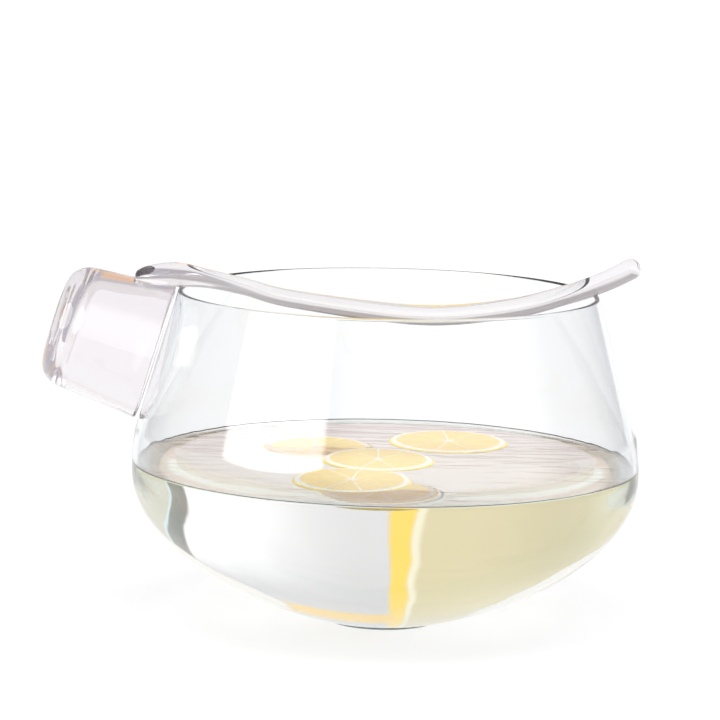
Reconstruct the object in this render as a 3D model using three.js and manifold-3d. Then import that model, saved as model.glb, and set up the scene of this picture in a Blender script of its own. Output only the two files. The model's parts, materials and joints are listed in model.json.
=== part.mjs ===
// Glass punch bowl with its glass ladle laid across the rim. Millimetres, +Z up.
// The origin is the centre of the bowl's flat underside, and +X points to the handle's tip.
import * as THREE from "three";
import { mergeVertices } from "three/addons/utils/BufferGeometryUtils.js";
import Module from "manifold-3d";

const wasm = await Module();
wasm.setup();

// Bowl
const bowlHeight = 194; // with the sizes below, the bowl holds 9.5 litres to the brim
const wallThickness = 3;
const rimRadius = 122.6;
const bellyRadius = 148.4;
const bellyHeight = 90;
const coneRadius = 146; // where the round belly runs into the straight upper wall
const coneHeight = 114;
const footRadius = 34.5;
const footFlatRadius = 29.5;
const footHeight = 2.4;
const baseThickness = 9;
const footFilletReach = 6; // the hollow round the foot runs this far out and this far up
const footFilletRise = 0.6;
const bowlSides = 48;

// Control points that give the belly's lower curves their fullness, outside and inside
const outsideSweep = { radius: 88.2, height: 15.6 };
const outsideFullHeight = 46;
const insideSweepRadius = 92;
const insideFullHeight = 52;

// Ladle cup
const mouthRadius = 40.2;
const cupDepth = 62;
const cupTaper = THREE.MathUtils.degToRad(4.8);
const cupCornerRadius = 15;
const cupWall = 3;
const cupBase = 8;
const lipBelowRim = 0.2; // the lip's top edge hangs this far below the bowl's rim
const cupSides = 32;

// Ladle handle: its centre line from the cup to the tip, with the half width and
// half thickness of its oval section. Heights are above the bowl's rim.
const handleStations = [
  { x: -148, z: 5.6, halfWidth: 8.5, halfThickness: 3 },
  { x: -139, z: 6.8, halfWidth: 12.5, halfThickness: 5.8 },
  { x: -124, z: 7.4, halfWidth: 13.5, halfThickness: 7.1 },
  { x: -106, z: 5.6, halfWidth: 10, halfThickness: 5.5 },
  { x: -84, z: 1.2, halfWidth: 8.2, halfThickness: 4.9 },
  { x: -55, z: -5.6, halfWidth: 8, halfThickness: 5.2 },
  { x: 18, z: -13.4, halfWidth: 8, halfThickness: 6 },
  { x: 70, z: -8.6, halfWidth: 8, halfThickness: 5.9 },
  { x: 104, z: 0.6, halfWidth: 8.4, halfThickness: 5.7 },
  { x: 126, z: 8.8, halfWidth: 9.4, halfThickness: 5.9 },
  { x: 145.5, z: 19, halfWidth: 9.4, halfThickness: 6.2 },
];
const handleSides = 14;
const handleSteps = 32;
const roundEndSteps = 4;

// The ladle's two glass pieces are fused; their solids stop this far from each other,
// and the lip hangs this far from the bowl's wall.
const seamGap = 0.3;
const lipGap = 1.5;

// Curved stretches of an outline are cut into steps of about this length.
const curveStep = 13;
const fewestSteps = 4;

// Worked out from the sizes above
const wallTop = bowlHeight - wallThickness / 2;
const wallSlope = (coneRadius - rimRadius) / (wallTop - coneHeight);
const wallTilt = Math.atan(wallSlope);
const cupEndRadius = mouthRadius - cupDepth * Math.tan(cupTaper);

const glass = (color) => new THREE.MeshStandardMaterial({
  color, roughness: 0.03, metalness: 0, transparent: true, opacity: 0.35, side: THREE.DoubleSide,
});

function pointsAlong(curve) {
  const steps = Math.max(fewestSteps, Math.round(curve.getLength() / curveStep));
  return curve.isLineCurve ? [curve.v2] : curve.getPoints(steps).slice(1);
}

function lathe(outline, sides) {
  const points = [outline.getPoint(0), ...outline.curves.flatMap(pointsAlong)];
  return new THREE.LatheGeometry(points, sides).rotateX(Math.PI / 2);
}

// Every outline runs from the axis up the outside, over the rim and back down the inside.
function bowlOutline() {
  const lipRadius = wallThickness / 2;
  const insideBelly = bellyRadius - wallThickness;
  const bendHeight = coneHeight - (bellyRadius - coneRadius) / wallSlope;
  const filletTop = { radius: footRadius + footFilletReach, height: footHeight + footFilletRise };
  const outline = new THREE.Path();
  outline.moveTo(0, 0);
  outline.lineTo(footFlatRadius, 0);
  outline.quadraticCurveTo(footRadius, 0, footRadius, footHeight / 2);
  outline.quadraticCurveTo(footRadius, footHeight, filletTop.radius, filletTop.height);
  outline.bezierCurveTo(
    outsideSweep.radius, outsideSweep.height, bellyRadius, outsideFullHeight, bellyRadius, bellyHeight,
  );
  outline.quadraticCurveTo(bellyRadius, bendHeight, coneRadius, coneHeight);
  outline.lineTo(rimRadius, wallTop);
  outline.absarc(rimRadius - lipRadius, wallTop, lipRadius, 0, Math.PI, false);
  outline.lineTo(coneRadius - wallThickness, coneHeight);
  outline.quadraticCurveTo(insideBelly, bendHeight, insideBelly, bellyHeight);
  outline.bezierCurveTo(
    insideBelly, insideFullHeight, insideSweepRadius, baseThickness, 0, baseThickness,
  );
  return outline;
}

// The cup's outside from the axis to where its side begins, with the closed end down and the
// mouth at height 0. grow moves it that far outward.
function cupOutside(grow) {
  const outline = new THREE.Path();
  outline.moveTo(0, -cupDepth - grow);
  outline.lineTo(cupEndRadius - cupCornerRadius, -cupDepth - grow);
  outline.quadraticCurveTo(
    cupEndRadius + grow, -cupDepth - grow,
    cupEndRadius + cupCornerRadius * Math.tan(cupTaper) + grow, cupCornerRadius - cupDepth,
  );
  return outline;
}

function cupOutline() {
  const lipRadius = cupWall / 2;
  const insideEnd = cupEndRadius - cupWall;
  const insideCorner = cupCornerRadius - cupWall;
  const outline = cupOutside(0);
  outline.lineTo(mouthRadius, -lipRadius);
  outline.absarc(mouthRadius - lipRadius, -lipRadius, lipRadius, 0, Math.PI, false);
  outline.lineTo(insideEnd + insideCorner * Math.tan(cupTaper), cupBase + insideCorner - cupDepth);
  outline.quadraticCurveTo(insideEnd, cupBase - cupDepth, insideEnd - insideCorner, cupBase - cupDepth);
  outline.lineTo(0, cupBase - cupDepth);
  return outline;
}

// A solid plug of the cup's outer shape, grown a little, which the handle's root is cut by.
function cupPlug() {
  const outline = cupOutside(seamGap);
  outline.lineTo(mouthRadius + seamGap, 0);
  outline.lineTo(0, 0);
  return outline;
}

// Turns the cup so that its mouth lies flat against the bowl's sloping wall on the -X side.
function hangOnWall(geometry) {
  const upTheWall = new THREE.Vector3(Math.sin(wallTilt), 0, Math.cos(wallTilt));
  const awayFromWall = new THREE.Vector3(-Math.cos(wallTilt), 0, Math.sin(wallTilt));
  const lipToRim = (bowlHeight - lipBelowRim - wallTop) / Math.cos(wallTilt);
  const mouthCentre = new THREE.Vector3(-rimRadius, 0, wallTop)
    .addScaledVector(upTheWall, lipToRim - mouthRadius)
    .addScaledVector(awayFromWall, lipGap);
  geometry.rotateY(Math.PI / 2 + wallTilt);
  geometry.translate(...mouthCentre);
  return geometry;
}

// A round-ended rod, one unit long for each step, is bent along the stations and takes each
// one's oval section.
function handleRod() {
  const line = new THREE.CatmullRomCurve3(
    handleStations.map(({ x, z }) => new THREE.Vector3(x, 0, bowlHeight + z)), false, "centripetal",
  );
  const section = new THREE.SplineCurve(
    handleStations.map((station) => new THREE.Vector2(station.halfWidth, station.halfThickness)),
  );
  const rod = new THREE.CapsuleGeometry(1, handleSteps, roundEndSteps, handleSides, handleSteps);
  const vertices = rod.attributes.position;
  const across = new THREE.Vector3(0, 1, 0);
  for (let i = 0; i < vertices.count; i += 1) {
    const along = (vertices.getY(i) + handleSteps / 2 + 1) / (handleSteps + 2);
    const t = THREE.MathUtils.clamp(along, 0, 1);
    const size = section.getPoint(t);
    const thickness = across.clone().cross(line.getTangent(t));
    const point = line.getPoint(t)
      .addScaledVector(across, vertices.getX(i) * size.x)
      .addScaledVector(thickness, vertices.getZ(i) * size.y);
    vertices.setXYZ(i, point.x, point.y, point.z);
  }
  return rod;
}

function solidOf(geometry) {
  geometry.deleteAttribute("normal");
  geometry.deleteAttribute("uv");
  const merged = mergeVertices(geometry, 1e-4);
  return new wasm.Manifold(new wasm.Mesh({
    numProp: 3,
    vertProperties: new Float32Array(merged.attributes.position.array),
    triVerts: new Uint32Array(merged.index.array),
  }));
}

function geometryOf(solid) {
  const mesh = solid.getMesh();
  const geometry = new THREE.BufferGeometry();
  geometry.setAttribute("position", new THREE.BufferAttribute(mesh.vertProperties, 3));
  geometry.setIndex(new THREE.BufferAttribute(mesh.triVerts, 1));
  geometry.computeVertexNormals();
  return geometry;
}

function handleGeometry() {
  const plug = hangOnWall(lathe(cupPlug(), cupSides));
  return geometryOf(solidOf(handleRod()).subtract(solidOf(plug)));
}

function piece(name, geometry, color) {
  const mesh = new THREE.Mesh(geometry, glass(color));
  mesh.name = name;
  return mesh;
}

const ladle = new THREE.Group();
ladle.add(piece("ladle_cup", hangOnWall(lathe(cupOutline(), cupSides)), 0xe6ecf0));
ladle.add(piece("ladle_handle", handleGeometry(), 0xe9ecec));

const group = new THREE.Group();
group.add(piece("bowl", lathe(bowlOutline(), bowlSides), 0xe8eff2));
group.add(ladle);

export default group;
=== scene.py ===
"""A glass punch bowl, half full of lemon water, with a glass ladle laid across its rim."""

import json
import math

import bmesh
import bpy
from mathutils import Matrix, Vector

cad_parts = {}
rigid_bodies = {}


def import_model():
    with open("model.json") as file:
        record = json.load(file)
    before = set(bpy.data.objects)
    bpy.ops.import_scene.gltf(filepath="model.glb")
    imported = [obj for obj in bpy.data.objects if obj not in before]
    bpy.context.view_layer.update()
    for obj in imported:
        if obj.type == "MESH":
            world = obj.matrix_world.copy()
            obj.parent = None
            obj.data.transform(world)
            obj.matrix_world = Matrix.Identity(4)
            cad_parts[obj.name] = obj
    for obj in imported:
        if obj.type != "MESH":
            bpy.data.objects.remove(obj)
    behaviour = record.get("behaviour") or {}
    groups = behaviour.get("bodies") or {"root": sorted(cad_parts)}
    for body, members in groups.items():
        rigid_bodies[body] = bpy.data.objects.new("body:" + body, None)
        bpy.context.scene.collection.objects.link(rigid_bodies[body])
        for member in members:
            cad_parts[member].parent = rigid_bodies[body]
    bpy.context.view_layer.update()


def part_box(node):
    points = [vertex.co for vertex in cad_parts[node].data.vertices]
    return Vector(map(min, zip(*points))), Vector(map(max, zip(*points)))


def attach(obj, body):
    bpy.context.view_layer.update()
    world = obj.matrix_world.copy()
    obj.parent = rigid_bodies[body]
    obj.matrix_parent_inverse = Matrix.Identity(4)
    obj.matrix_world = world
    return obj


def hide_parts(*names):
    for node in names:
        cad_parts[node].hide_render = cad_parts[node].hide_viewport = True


for old in list(bpy.data.objects):
    bpy.data.objects.remove(old, do_unlink=True)
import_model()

MM = 0.001

# The bowl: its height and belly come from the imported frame, and the rest repeats the CAD model.
bowl_low, bowl_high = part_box("bowl")
BOWL_HEIGHT = bowl_high[2]
BELLY_RADIUS = bowl_high[0]
BELLY_HEIGHT = 90 * MM
RIM_RADIUS = 122.6 * MM
CONE_RADIUS = 146 * MM
CONE_HEIGHT = 114 * MM
WALL = 3 * MM
BASE = 9 * MM
FOOT_RADIUS = 34.5 * MM
FOOT_FLAT = 29.5 * MM
FOOT_HEIGHT = 2.4 * MM
FOOT_FILLET_REACH = 6 * MM
FOOT_FILLET_RISE = 0.6 * MM
OUTSIDE_SWEEP = (88.2 * MM, 15.6 * MM)
OUTSIDE_FULL_HEIGHT = 46 * MM
INSIDE_SWEEP_RADIUS = 92 * MM
INSIDE_FULL_HEIGHT = 52 * MM
WALL_TOP = BOWL_HEIGHT - WALL / 2
WALL_SLOPE = (CONE_RADIUS - RIM_RADIUS) / (WALL_TOP - CONE_HEIGHT)
WALL_TILT = math.atan(WALL_SLOPE)
BEND_HEIGHT = CONE_HEIGHT - (BELLY_RADIUS - CONE_RADIUS) / WALL_SLOPE

# The ladle
MOUTH_RADIUS = 40.2 * MM
CUP_DEPTH = 62 * MM
CUP_TAPER = math.radians(4.8)
CUP_CORNER = 15 * MM
CUP_WALL = 3 * MM
CUP_BASE = 8 * MM
LIP_BELOW_RIM = 0.2 * MM
LIP_GAP = 1.5 * MM
# x, height above the rim, half width and half thickness of the handle's oval section
HANDLE_STATIONS = (
    (-148, 5.6, 8.5, 3),
    (-139, 6.8, 12.5, 5.8),
    (-124, 7.4, 13.5, 7.1),
    (-106, 5.6, 10, 5.5),
    (-84, 1.2, 8.2, 4.9),
    (-55, -5.6, 8, 5.2),
    (18, -13.4, 8, 6),
    (70, -8.6, 8, 5.9),
    (104, 0.6, 8.4, 5.7),
    (126, 8.8, 9.4, 5.9),
    (145.5, 19, 9.4, 6.2),
)

# The drink
DRINK_LEVEL = 93.4 * MM
MENISCUS_RISE = 1.6 * MM
MENISCUS_WIDTH = 5 * MM
INTO_GLASS = 0.35 * MM  # the drink's skin lies this far inside the glass, so no air shows between

# Lemon slices: x, y, height of the middle above the drink, radius, turn and tilt in degrees
SLICES = (
    ("lemon_right", 39, 71, -0.7, 36.5, 15, 1.0),
    ("lemon_middle", -4, 2, -0.5, 33, 50, 1.6),
    ("lemon_front", -19, -66, -0.7, 34, 80, 1.2),
    ("lemon_left", -40, 48, -1.9, 33, 20, 2.0),
    ("lemon_sunk", -4, -92, -2.1, 33, 5, 0.5),
)
SLICE_THICKNESS = 3.6 * MM
SLICE_SEGMENTS = 9

CAMERA_ELEVATION = math.radians(8.26)
CAMERA_DISTANCE = 1.839
CAMERA_ROLL = math.radians(1.2)
CAMERA_AIM = Vector((-0.016, 0, 0.1535))
LENS = 157.5
FLOOR_GLOW = 0.80  # the floor gives light itself, which keeps it white and hides most shadow


# ---- Outlines, as (radius, height) pairs ----


def curve(points, steps):
    """Points along a Bezier curve of any degree, without its first point."""
    degree = len(points) - 1
    found = []
    for i in range(1, steps + 1):
        t = i / steps
        weights = [math.comb(degree, k) * t**k * (1 - t) ** (degree - k) for k in range(degree + 1)]
        found.append(tuple(sum(w * p[axis] for w, p in zip(weights, points)) for axis in (0, 1)))
    return found


def half_turn(centre_radius, height, radius, steps):
    """The rounded top of a wall, from outside to inside, without its first point."""
    angles = [math.pi * i / steps for i in range(1, steps + 1)]
    return [(centre_radius + radius * math.cos(a), height + radius * math.sin(a)) for a in angles]


def bowl_outside():
    """From the axis out and up to the wall's top, where the points lie closer together."""
    start = (FOOT_RADIUS + FOOT_FILLET_REACH, FOOT_HEIGHT + FOOT_FILLET_RISE)
    foot_side = (FOOT_RADIUS, FOOT_HEIGHT / 2)
    cone = (CONE_RADIUS, CONE_HEIGHT)
    belly = (BELLY_RADIUS, BELLY_HEIGHT)
    top = (RIM_RADIUS, WALL_TOP)
    return [
        (0, 0),
        (FOOT_FLAT * 0.5, 0),
        (FOOT_FLAT, 0),
        *curve([(FOOT_FLAT, 0), (FOOT_RADIUS, 0), foot_side], 8),
        *curve([foot_side, (FOOT_RADIUS, FOOT_HEIGHT), start], 8),
        *curve([start, OUTSIDE_SWEEP, (BELLY_RADIUS, OUTSIDE_FULL_HEIGHT), belly], 56),
        *curve([belly, (BELLY_RADIUS, BEND_HEIGHT), cone], 16),
        *curve([cone, top, top], 24),
    ]


def bowl_inside(into=0):
    """From the wall's top down to the axis. into moves it that far into the glass."""
    belly = BELLY_RADIUS - WALL + into
    top = (RIM_RADIUS - WALL + into, WALL_TOP)
    cone = (CONE_RADIUS - WALL + into, CONE_HEIGHT)
    low = (belly, INSIDE_FULL_HEIGHT), (INSIDE_SWEEP_RADIUS, BASE - into), (0, BASE - into)
    return [
        *curve([top, top, cone], 24),
        *curve([cone, (belly, BEND_HEIGHT), (belly, BELLY_HEIGHT)], 16),
        *curve([(belly, BELLY_HEIGHT), *low], 64),
    ]


def cup_outline():
    """The cup with its mouth at height 0 and its closed end down."""
    end = MOUTH_RADIUS - CUP_DEPTH * math.tan(CUP_TAPER)
    side = (end + CUP_CORNER * math.tan(CUP_TAPER), CUP_CORNER - CUP_DEPTH)
    corner = CUP_CORNER - CUP_WALL
    floor = CUP_BASE - CUP_DEPTH
    inner = end - CUP_WALL
    inner_side = (inner + corner * math.tan(CUP_TAPER), floor + corner)
    lip = CUP_WALL / 2
    mouth = (MOUTH_RADIUS, -lip)
    inner_mouth = (MOUTH_RADIUS - CUP_WALL, -lip)
    return [
        (0, -CUP_DEPTH),
        *curve([(0, -CUP_DEPTH), (end - CUP_CORNER, -CUP_DEPTH)], 8),
        *curve([(end - CUP_CORNER, -CUP_DEPTH), (end, -CUP_DEPTH), side], 20),
        *curve([side, mouth, mouth], 24),
        *half_turn(MOUTH_RADIUS - lip, -lip, lip, 10),
        *curve([inner_mouth, inner_mouth, inner_side], 24),
        *curve([inner_side, (inner, floor), (inner - corner, floor)], 20),
        *curve([(inner - corner, floor), (0, floor)], 8),
    ]


# ---- Mesh helpers ----


def new_piece(name, vertices, faces, smooth=True):
    mesh = bpy.data.meshes.new(name)
    mesh.from_pydata(vertices, [], faces)
    mesh.polygons.foreach_set("use_smooth", [smooth] * len(mesh.polygons))
    mesh.validate()
    piece = bpy.data.objects.new(name, mesh)
    bpy.context.scene.collection.objects.link(piece)
    return piece


def turned(name, outline, sides, wobble=None):
    """A body of revolution about Z. wobble(angle, height) is a small change of radius."""
    vertices, rings, faces = [], [], []
    for radius, height in outline:
        if radius < 1e-6:
            rings.append([len(vertices)] * sides)
            vertices.append((0, 0, height))
            continue
        rings.append(list(range(len(vertices), len(vertices) + sides)))
        for i in range(sides):
            angle = 2 * math.pi * i / sides
            r = radius + (wobble(angle, height) if wobble else 0)
            vertices.append((r * math.cos(angle), r * math.sin(angle), height))
    for low, high in zip(rings, rings[1:]):
        for i in range(sides):
            j = (i + 1) % sides
            corners = dict.fromkeys((low[i], low[j], high[j], high[i]))
            if len(corners) > 2:
                faces.append(tuple(corners))
    return new_piece(name, vertices, faces)


def baked(piece):
    """Replaces a piece's mesh by what its modifiers make of it."""
    depsgraph = bpy.context.evaluated_depsgraph_get()
    mesh = bpy.data.meshes.new_from_object(piece.evaluated_get(depsgraph))
    piece.modifiers.clear()
    piece.data = mesh
    return piece


def smooth_by_angle(piece, degrees):
    """Smooth shading with a crease where faces meet at more than this angle."""
    shape = bmesh.new()
    shape.from_mesh(piece.data)
    for edge in shape.edges:
        edge.smooth = len(edge.link_faces) == 2 and edge.calc_face_angle() < math.radians(degrees)
    for face in shape.faces:
        face.smooth = True
    shape.to_mesh(piece.data)
    shape.free()


# ---- Materials ----

GLASS_IOR = 1.5
WATER_IOR = 1.33
GLASS_DENSITY = 45  # how strongly glass and drink take up light, for each metre
DRINK_DENSITY = 0.6


def new_material(name):
    material = bpy.data.materials.new(name)
    material.use_nodes = True
    nodes = material.node_tree.nodes
    links = material.node_tree.links
    return material, nodes, links, nodes["Principled BSDF"]


def glass_material(name, skin_tint, edge_tint, ripple_size, ripple_depth, stretch):
    """Clear hand-worked glass with soft draw marks.

    skin_tint colours light at each surface it crosses, and edge_tint over long ways inside.
    """
    material, nodes, links, shader = new_material(name)
    shader.inputs["Base Color"].default_value = (*skin_tint, 1)
    shader.inputs["Transmission Weight"].default_value = 1
    shader.inputs["Roughness"].default_value = 0
    shader.inputs["IOR"].default_value = GLASS_IOR
    place = nodes.new("ShaderNodeTexCoord")
    scaled = nodes.new("ShaderNodeMapping")
    scaled.inputs["Scale"].default_value = stretch
    links.new(place.outputs["Object"], scaled.inputs["Vector"])
    draw_marks = nodes.new("ShaderNodeTexNoise")
    draw_marks.inputs["Scale"].default_value = 1 / ripple_size
    draw_marks.inputs["Detail"].default_value = 1.5
    links.new(scaled.outputs["Vector"], draw_marks.inputs["Vector"])
    bump = nodes.new("ShaderNodeBump")
    bump.inputs["Strength"].default_value = 1
    bump.inputs["Distance"].default_value = ripple_depth
    links.new(draw_marks.outputs["Fac"], bump.inputs["Height"])
    links.new(bump.outputs["Normal"], shader.inputs["Normal"])
    absorb = nodes.new("ShaderNodeVolumeAbsorption")
    absorb.inputs["Color"].default_value = (*edge_tint, 1)
    absorb.inputs["Density"].default_value = GLASS_DENSITY
    links.new(absorb.outputs["Volume"], nodes["Material Output"].inputs["Volume"])
    return material


def drink_material(name, ripple_size, ripple_depth, ripple_detail, stretch, mirror):
    """Lemon water: clear, faintly yellow with depth, and never quite still.

    A stretch below 1 draws the ripples out along that axis. mirror is how strongly it reflects.
    """
    material, nodes, links, shader = new_material(name)
    shader.inputs["Base Color"].default_value = (1, 1, 1, 1)
    shader.inputs["Transmission Weight"].default_value = 1
    shader.inputs["Roughness"].default_value = 0
    shader.inputs["IOR"].default_value = WATER_IOR
    shader.inputs["Specular IOR Level"].default_value = mirror
    place = nodes.new("ShaderNodeTexCoord")
    scaled = nodes.new("ShaderNodeMapping")
    scaled.inputs["Scale"].default_value = stretch
    links.new(place.outputs["Object"], scaled.inputs["Vector"])
    ripples = nodes.new("ShaderNodeTexNoise")
    ripples.inputs["Scale"].default_value = 1 / ripple_size
    ripples.inputs["Detail"].default_value = ripple_detail
    links.new(scaled.outputs["Vector"], ripples.inputs["Vector"])
    bump = nodes.new("ShaderNodeBump")
    bump.inputs["Distance"].default_value = ripple_depth
    links.new(ripples.outputs["Fac"], bump.inputs["Height"])
    links.new(bump.outputs["Normal"], shader.inputs["Normal"])
    absorb = nodes.new("ShaderNodeVolumeAbsorption")
    absorb.inputs["Color"].default_value = (0.95, 0.9, 0.3, 1)
    absorb.inputs["Density"].default_value = DRINK_DENSITY
    links.new(absorb.outputs["Volume"], nodes["Material Output"].inputs["Volume"])
    return material


def lemon_material():
    """The slice's colours are painted on its mesh; juice sacs and pores come from noise."""
    material, nodes, links, shader = new_material("lemon")
    paint = nodes.new("ShaderNodeVertexColor")
    paint.layer_name = "paint"
    place = nodes.new("ShaderNodeUVMap")
    place.uv_map = "polar"
    sacs = nodes.new("ShaderNodeTexVoronoi")
    sacs.inputs["Scale"].default_value = 1
    links.new(place.outputs["UV"], sacs.inputs["Vector"])
    shade = nodes.new("ShaderNodeMapRange")
    shade.inputs["To Min"].default_value = 1.0
    shade.inputs["To Max"].default_value = 0.86
    links.new(sacs.outputs["Distance"], shade.inputs["Value"])
    mix = nodes.new("ShaderNodeMix")
    mix.data_type = "RGBA"
    mix.blend_type = "MULTIPLY"
    mix.inputs["Factor"].default_value = 1
    links.new(paint.outputs["Color"], mix.inputs["A"])
    links.new(shade.outputs["Result"], mix.inputs["B"])
    links.new(mix.outputs["Result"], shader.inputs["Base Color"])
    bump = nodes.new("ShaderNodeBump")
    bump.inputs["Distance"].default_value = 0.4 * MM
    bump.inputs["Strength"].default_value = 0.5
    bump.invert = True
    links.new(sacs.outputs["Distance"], bump.inputs["Height"])
    links.new(bump.outputs["Normal"], shader.inputs["Normal"])
    shader.inputs["Roughness"].default_value = 0.28
    shader.inputs["Subsurface Weight"].default_value = 0.5
    shader.inputs["Subsurface Radius"].default_value = (1, 0.8, 0.3)
    shader.inputs["Subsurface Scale"].default_value = 3 * MM
    return material


# ---- Pieces ----


def bowl_wobble(angle, height):
    """Blown glass is never quite round: up to about 0.1 mm in the wall."""
    slow = math.sin(3 * angle + 25 * height) + 0.6 * math.sin(5 * angle - 40 * height + 1)
    return 0.05 * MM * slow


def make_bowl():
    lip = WALL / 2
    outline = [
        *bowl_outside(),
        *half_turn(RIM_RADIUS - lip, WALL_TOP, lip, 10),
        *bowl_inside(),
    ]
    clear_skin, cool_edge = (1, 1, 1), (0.72, 0.78, 0.80)
    piece = turned("glass_bowl", outline, 256, bowl_wobble)
    piece.data.materials.append(
        glass_material("bowl_glass", clear_skin, cool_edge, 30 * MM, 0.12 * MM, (1, 1, 0.35))
    )
    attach(piece, "bowl")
    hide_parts("bowl")
    return piece


def make_drink():
    """The drink fills the bowl's inside up to its level, with a rounded edge that climbs the glass."""
    top = DRINK_LEVEL + MENISCUS_RISE
    wall = [point for point in reversed(bowl_inside(INTO_GLASS)) if point[1] < top]
    edge_radius = wall[-1][0]
    flat_radius = edge_radius - MENISCUS_WIDTH
    edge = (edge_radius, top)
    foot = (edge_radius - MENISCUS_WIDTH * 0.2, DRINK_LEVEL)
    flat = (flat_radius, DRINK_LEVEL)
    surface = curve([flat, (0, DRINK_LEVEL)], 48)
    outline = [*wall, edge, *curve([edge, foot, flat], 10), *surface]
    piece = turned("drink", outline, 256)
    piece.data.materials.append(
        drink_material("lemon_water", 12 * MM, 0.2 * MM, 2, (0.25, 1, 1), mirror=1)
    )
    piece.data.materials.append(
        drink_material("lemon_water_side", 26 * MM, 0.55 * MM, 0, (1, 1, 1), mirror=0)
    )
    for face in piece.data.polygons:
        face.material_index = int(face.center.z < DRINK_LEVEL - MM)
    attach(piece, "bowl")
    return piece


def hang_on_wall():
    """Where the cup hangs: its mouth lies along the bowl's sloping wall on the -X side."""
    up_wall = Vector((math.sin(WALL_TILT), 0, math.cos(WALL_TILT)))
    away = Vector((-math.cos(WALL_TILT), 0, math.sin(WALL_TILT)))
    lip_to_rim = (BOWL_HEIGHT - LIP_BELOW_RIM - WALL_TOP) / math.cos(WALL_TILT)
    centre = Vector((-RIM_RADIUS, 0, WALL_TOP)) + up_wall * (lip_to_rim - MOUTH_RADIUS)
    centre += away * LIP_GAP
    return Matrix.Translation(centre) @ Matrix.Rotation(math.pi / 2 + WALL_TILT, 4, "Y")


def along_stations(t, column):
    """A smooth value of one column of the handle's stations, for t from 0 to 1."""
    last = len(HANDLE_STATIONS) - 1
    place = min(max(t, 0), 1) * last
    i = min(int(place), last - 1)
    u = place - i
    a, b, c, d = (HANDLE_STATIONS[min(max(k, 0), last)][column] for k in (i - 1, i, i + 1, i + 2))
    if i == 0:
        a = 2 * b - c
    if i == last - 1:
        d = 2 * c - b
    turn = (2 * a - 5 * b + 4 * c - d) * u**2 + (3 * b - a - 3 * c + d) * u**3
    return (b + 0.5 * ((c - a) * u + turn)) * MM


def make_handle():
    """A round-ended rod bent through the stations, with an oval section of changing size."""
    steps, sides = 260, 48
    round_share = 0.028  # the share of the rod's length that each round end takes
    vertices, faces = [], []
    for k in range(steps + 1):
        t = k / steps
        from_end = min(t, 1 - t)
        roundness = math.sqrt(max(1 - (1 - min(from_end / round_share, 1)) ** 2, 0))
        x, z = along_stations(t, 0), along_stations(t, 1)
        step = 1e-3
        dx = along_stations(min(t + step, 1), 0) - along_stations(max(t - step, 0), 0)
        dz = along_stations(min(t + step, 1), 1) - along_stations(max(t - step, 0), 1)
        length = math.hypot(dx, dz)
        width, thick = along_stations(t, 2) * roundness, along_stations(t, 3) * roundness
        if k in (0, steps):
            vertices.append((x, 0, BOWL_HEIGHT + z))
            continue
        for i in range(sides):
            angle = 2 * math.pi * i / sides
            across, up = width * math.cos(angle), thick * math.sin(angle)
            vertices.append((x - up * dz / length, across, BOWL_HEIGHT + z + up * dx / length))
    for i in range(sides):
        j = (i + 1) % sides
        faces.append((0, 1 + i, 1 + j))
        for k in range(steps - 2):
            a = 1 + k * sides
            faces.append((a + i, a + sides + i, a + sides + j, a + j))
        a = 1 + (steps - 2) * sides
        faces.append((a + j, a + i, len(vertices) - 1))
    return new_piece("ladle_rod", vertices, faces)


def make_ladle():
    """The cup and the handle, fused into one piece of glass."""
    ladle = turned("glass_ladle", cup_outline(), 128)
    ladle.data.transform(hang_on_wall())
    rod = make_handle()
    fuse = ladle.modifiers.new("fuse", "BOOLEAN")
    fuse.operation = "UNION"
    fuse.solver = "EXACT"
    fuse.object = rod
    baked(ladle)
    bpy.data.objects.remove(rod, do_unlink=True)
    smooth_by_angle(ladle, 30)
    ladle.data.materials.clear()
    lilac_skin, lilac_edge = (0.935, 0.918, 0.928), (0.95, 0.945, 0.948)
    ladle.data.materials.append(
        glass_material("ladle_glass", lilac_skin, lilac_edge, 18 * MM, 0.12 * MM, (0.5, 1, 1))
    )
    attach(ladle, "ladle")
    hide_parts("ladle_cup", "ladle_handle")
    return ladle


def slice_paint(r, angle):
    """Colour of a lemon slice at a share r of its radius, and how far it stands out in mm."""
    rind, pith, inner_pith = 0.965, 0.885, 0.86
    membrane_width, core_radius = 0.035, 0.09
    cell = (angle / (2 * math.pi) * SLICE_SEGMENTS) % 1
    from_membrane = (1 - abs(cell - 0.5) * 2) * r
    membrane = math.exp(-((from_membrane / membrane_width) ** 2))
    core = math.exp(-((r / core_radius) ** 4))
    yellow, cream, flesh = (0.96, 0.74, 0.10), (1.0, 0.97, 0.86), (0.96, 0.76, 0.27)
    if r > rind:
        return yellow, -0.2
    if r > pith:
        return cream, 0.0
    white = max(membrane, core)
    if r > inner_pith:
        white = 1
    colour = tuple(f + (c - f) * white for f, c in zip(flesh, cream))
    return colour, 0.35 * (1 - white) - 0.1


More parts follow.
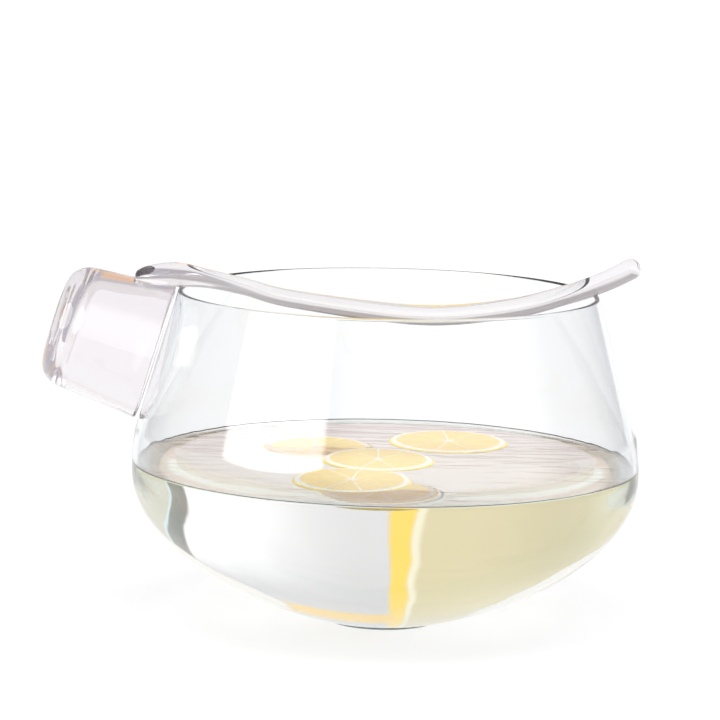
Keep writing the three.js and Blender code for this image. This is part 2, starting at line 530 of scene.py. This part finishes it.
def make_slice(name, x, y, height, radius, turn, tilt, material):
    rings, sides = 34, 180
    sacs_around, sacs_outward = 14, 9
    edge_starts = 0.93  # the share of the radius where the face begins to round off
    outer = radius * MM
    half = SLICE_THICKNESS / 2
    vertices, faces, colours, polar = [], [], [], []

    def add(r, angle, z, colour):
        vertices.append((r * outer * math.cos(angle), r * outer * math.sin(angle), z))
        colours.append((*colour, 1))
        polar.append((angle * sacs_around, r * sacs_outward))

    loops = []
    for side in (1, -1):
        shares = [k / rings for k in range(1, rings + 1)]
        for r in shares if side == 1 else reversed(shares):
            for i in range(sides):
                angle = 2 * math.pi * i / sides
                colour, relief = slice_paint(r, angle)
                bulge = 1 - max(r - edge_starts, 0) ** 2 * 90
                uneven = 1 + 0.004 * math.sin(3 * angle)
                add(r * uneven, angle, side * (half * bulge + relief * MM), colour)
            loops.append(len(loops))
    centre_top = len(vertices)
    colour, relief = slice_paint(0, 0)
    add(0, 0, half + relief * MM, colour)
    add(0, 0, -half - relief * MM, colour)
    for i in range(sides):
        j = (i + 1) % sides
        faces.append((centre_top, i, j))
        for k in range(len(loops) - 1):
            a, b = k * sides, (k + 1) * sides
            faces.append((a + i, b + i, b + j, a + j))
        last = (len(loops) - 1) * sides
        faces.append((centre_top + 1, last + j, last + i))
    piece = new_piece(name, vertices, faces)
    paint = piece.data.color_attributes.new("paint", "FLOAT_COLOR", "POINT")
    paint.data.foreach_set("color", [v for colour in colours for v in colour])
    layer = piece.data.uv_layers.new(name="polar")
    for loop in piece.data.loops:
        layer.data[loop.index].uv = polar[loop.vertex_index]
    piece.data.materials.append(material)
    lean = Matrix.Rotation(math.radians(tilt), 4, "X") @ Matrix.Rotation(math.radians(turn), 4, "Z")
    piece.data.transform(lean)
    piece.data.transform(Matrix.Translation((x * MM, y * MM, DRINK_LEVEL + height * MM)))
    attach(piece, "bowl")
    return piece


# ---- Stage ----


def make_floor():
    radius, sides = 14, 96
    angles = [math.tau * i / sides for i in range(sides)]
    corners = [(radius * math.cos(a), radius * math.sin(a), 0) for a in angles]
    floor = new_piece("floor", corners, [tuple(range(sides))], smooth=False)
    floor.location.z = -0.2 * MM
    material, nodes, links, shader = new_material("floor")
    shader.inputs["Base Color"].default_value = (0.2, 0.2, 0.2, 1)
    shader.inputs["Roughness"].default_value = 0.9
    shader.inputs["Emission Color"].default_value = (1, 1, 1, 1)
    shader.inputs["Emission Strength"].default_value = FLOOR_GLOW
    floor.data.materials.append(material)


# What the glass and the drink show of the studio. This is not one plain soft light: the zones
# stand for a furnished room, they are tuned for the main view, and which of them light sees also
# depends on how it got there, so no single room could look like this. They don't go out with the
# exported model. They belong to the world, not to the bowl and the ladle. Each row: name; which
# light sees it (see seen_by below); degrees around the bowl (0 is behind it, + to the right);
# degrees up; how far its soft edges reach sideways and upward; its outline's blur (0.5 keeps the
# whole soft edge); colour and brightness.
EVERYWHERE = (-400, 400)
STUDIO = (
    ("floor_far_off", "bent", (-80, 80), (-30, 8), 12, 3, 0.5, (0.95, 0.93, 0.93)),
    ("grey_band", "bent", (-80, 80), (8, 24), 12, 3, 0.5, (0.50, 0.47, 0.48)),
    ("violet_band", "bent", (-80, 80), (24, 56), 12, 4, 0.5, (0.36, 0.34, 0.40)),
    ("dark_band", "bent", (-3.4, 80), (24, 56), 1, 4, 0.5, (0.17, 0.16, 0.18)),
    ("softbox", "bent", (120, 240), (55, 84), 30, 10, 0.5, (7.4, 7.4, 7.4)),
    ("dark_side", "drink", EVERYWHERE, (-90, 90), 1, 1, 0.5, (0.48, 0.49, 0.44)),
    ("white_board", "drink", (-0.6, 30.5), (-20, 34), 1, 1, 0.5, (1.28, 1.28, 1.40)),
    ("board_shade", "drink", (-20, 12), (-20, 34), 10, 1, 0.5, (0.84, 0.85, 0.94)),
    ("board_foot", "drink", (-0.6, 40), (14, 34), 1, 4, 0.5, (0.72, 0.73, 0.81)),
    ("left_edge", "drink", (37.5, 62), (-20, 34), 1, 2, 0.5, (0.70, 0.69, 0.58)),
    ("blue_glint", "drink", (37, 38.5), (-20, 34), 0.5, 2, 0.5, (0.75, 0.95, 1.1)),
    ("dark_gap", "drink", (30.5, 37), (-20, 34), 0.6, 0.8, 0.5, (0.13, 0.14, 0.13)),
    ("beige_wall", "drink", (-75, -0.4), (-20, 34), 0.5, 0.8, 0.5, (0.82, 0.73, 0.44)),
    ("beige_shade", "drink", (-36, -16), (-20, 16), 8, 4, 0.5, (0.70, 0.64, 0.38)),
    ("pale_strip", "drink", (-3.6, -2.7), (-20, 34), 0.3, 0.5, 0.5, (1.08, 1.02, 0.80)),
    ("yellow_edge", "drink", (-2.7, -0.5), (-20, 34), 0.3, 0.5, 0.5, (1.2, 0.82, 0.03)),
    ("yellow_low", "drink", (-1, 24), (21, 26), 0.5, 1, 0.5, (1.15, 0.76, 0.14)),
    ("grey_room", "mirror", EVERYWHERE, (-90, 90), 1, 1, 0.5, (0.55, 0.53, 0.58)),
    ("warm_ceiling", "mirror", (-2.6, 3.4), (4, 60), 0.8, 3, 0.5, (0.95, 0.60, 0.34)),
    ("window", "mirror", (-150, -96), (8.5, 50), 27, 14, 0.05, (5.6, 5.6, 5.7)),
    ("window_bar", "mirror", (-124.5, -123), (14, 50), 0.4, 6, 0.1, (4.4, 4.4, 4.5)),
    ("fill", "mirror", (100, 200), (-20, 60), 14, 14, 0.5, (2.0, 1.98, 1.98)),
    ("rose_cloth", "surface", EVERYWHERE, (-90, 90), 1, 1, 0.5, (1.05, 0.86, 0.86)),
    ("rose_shade", "surface", (-9, 9), (4.5, 9.5), 1, 0.6, 0.5, (0.46, 0.22, 0.25)),
    ("cool_right", "surface", (9, 80), (-90, 90), 1, 1, 0.5, (1.1, 1.2, 1.26)),
    ("cool_left", "surface", (-80, -9), (-90, 90), 1, 1, 0.5, (1.1, 1.2, 1.26)),
)
STUDIO_REST = (0.52, 0.54, 0.58)
THROUGH_DRINK = 5.5  # light that crossed the drink has crossed more surfaces than this
PAST_FRONT_WALL = 3.5  # and mirrored light that came from inside the bowl more than this


def make_world():
    """White to the camera itself, and to the glass the zones above, chosen by direction and path."""
    world = bpy.data.worlds.new("studio")
    bpy.context.scene.world = world
    world.use_nodes = True
    nodes, links = world.node_tree.nodes, world.node_tree.links
    place = nodes.new("ShaderNodeTexCoord")
    split = nodes.new("ShaderNodeSeparateXYZ")
    links.new(place.outputs["Generated"], split.inputs["Vector"])

    def maths(operation, *values):
        node = nodes.new("ShaderNodeMath")
        node.operation = operation
        for socket, value in zip(node.inputs, values):
            if isinstance(value, (int, float)):
                socket.default_value = value
            else:
                links.new(value, socket)
        return node.outputs["Value"]

    def ramp(value, low, high):
        node = nodes.new("ShaderNodeMapRange")
        node.interpolation_type = "SMOOTHSTEP"
        node.inputs["From Min"].default_value = low
        node.inputs["From Max"].default_value = high
        links.new(value, node.inputs["Value"])
        return node.outputs["Result"]

    def between(value, low, high, soft):
        return maths("MULTIPLY", ramp(value, low - soft, low + soft), ramp(value, high + soft, high - soft))

    def mixed(share, first, second):
        node = nodes.new("ShaderNodeMix")
        node.data_type = "RGBA"
        links.new(share, node.inputs["Factor"])
        for key, value in (("A", first), ("B", second)):
            if isinstance(value, tuple):
                node.inputs[key].default_value = (*value, 1)
            else:
                links.new(value, node.inputs[key])
        return node.outputs["Result"]

    around = maths("DEGREES", maths("ARCTAN2", split.outputs["X"], split.outputs["Y"]))
    height = maths("DEGREES", maths("ARCSINE", split.outputs["Z"]))
    full_turn = maths("FLOORED_MODULO", around, 360)
    path = nodes.new("ShaderNodeLightPath").outputs
    mirrored = maths("GREATER_THAN", path["Glossy Depth"], 0.5)
    straight = maths("SUBTRACT", 1, mirrored)
    crossed = path["Transmission Depth"]
    seen_by = {
        "bent": maths("MULTIPLY", straight, maths("LESS_THAN", crossed, THROUGH_DRINK)),
        "drink": maths("MULTIPLY", straight, maths("GREATER_THAN", crossed, THROUGH_DRINK)),
        "mirror": maths("MULTIPLY", mirrored, maths("LESS_THAN", crossed, PAST_FRONT_WALL)),
        "surface": maths("MULTIPLY", mirrored, maths("GREATER_THAN", crossed, PAST_FRONT_WALL)),
    }
    colour = STUDIO_REST
    for _, seen, (left, right), (low, high), soft_across, soft_up, blur, shade in STUDIO:
        share = between(height, low, high, soft_up)
        if (left, right) != EVERYWHERE:
            across = full_turn if right > 180 else around
            share = maths("MULTIPLY", share, between(across, left, right, soft_across))
        if blur < 0.5:
            share = ramp(share, 0.5 - blur, 0.5 + blur)
        colour = mixed(maths("MULTIPLY", share, seen_by[seen]), colour, shade)
    white = mixed(path["Is Camera Ray"], colour, (1.0, 1.0, 1.0))
    links.new(white, nodes["Background"].inputs["Color"])


def make_camera():
    camera = bpy.data.objects.new("camera", bpy.data.cameras.new("camera"))
    camera.data.lens = LENS
    camera.data.clip_end = 100
    bpy.context.scene.collection.objects.link(camera)
    back = Vector((0, -math.cos(CAMERA_ELEVATION), math.sin(CAMERA_ELEVATION)))
    camera.location = CAMERA_AIM + back * CAMERA_DISTANCE
    level = Matrix.Rotation(math.pi / 2 - CAMERA_ELEVATION, 4, "X")
    camera.rotation_euler = (level @ Matrix.Rotation(CAMERA_ROLL, 4, "Z")).to_euler()
    bpy.context.scene.camera = camera


def light_settings():
    """Enough bounces for light that runs along inside the handle, as well as through the drink."""
    glass_bounces = 64
    scene = bpy.context.scene
    scene.view_settings.view_transform = "Standard"
    scene.cycles.max_bounces = glass_bounces
    scene.cycles.transmission_bounces = glass_bounces
    scene.cycles.glossy_bounces = glass_bounces
    scene.cycles.diffuse_bounces = 4
    scene.cycles.caustics_reflective = True
    scene.cycles.caustics_refractive = True
    scene.cycles.blur_glossy = 0.2
    scene.cycles.use_denoising = True


make_camera()
light_settings()
make_world()
make_floor()
make_bowl()
make_ladle()
make_drink()
lemon = lemon_material()
for name, *numbers in SLICES:
    make_slice(name, *numbers, lemon)
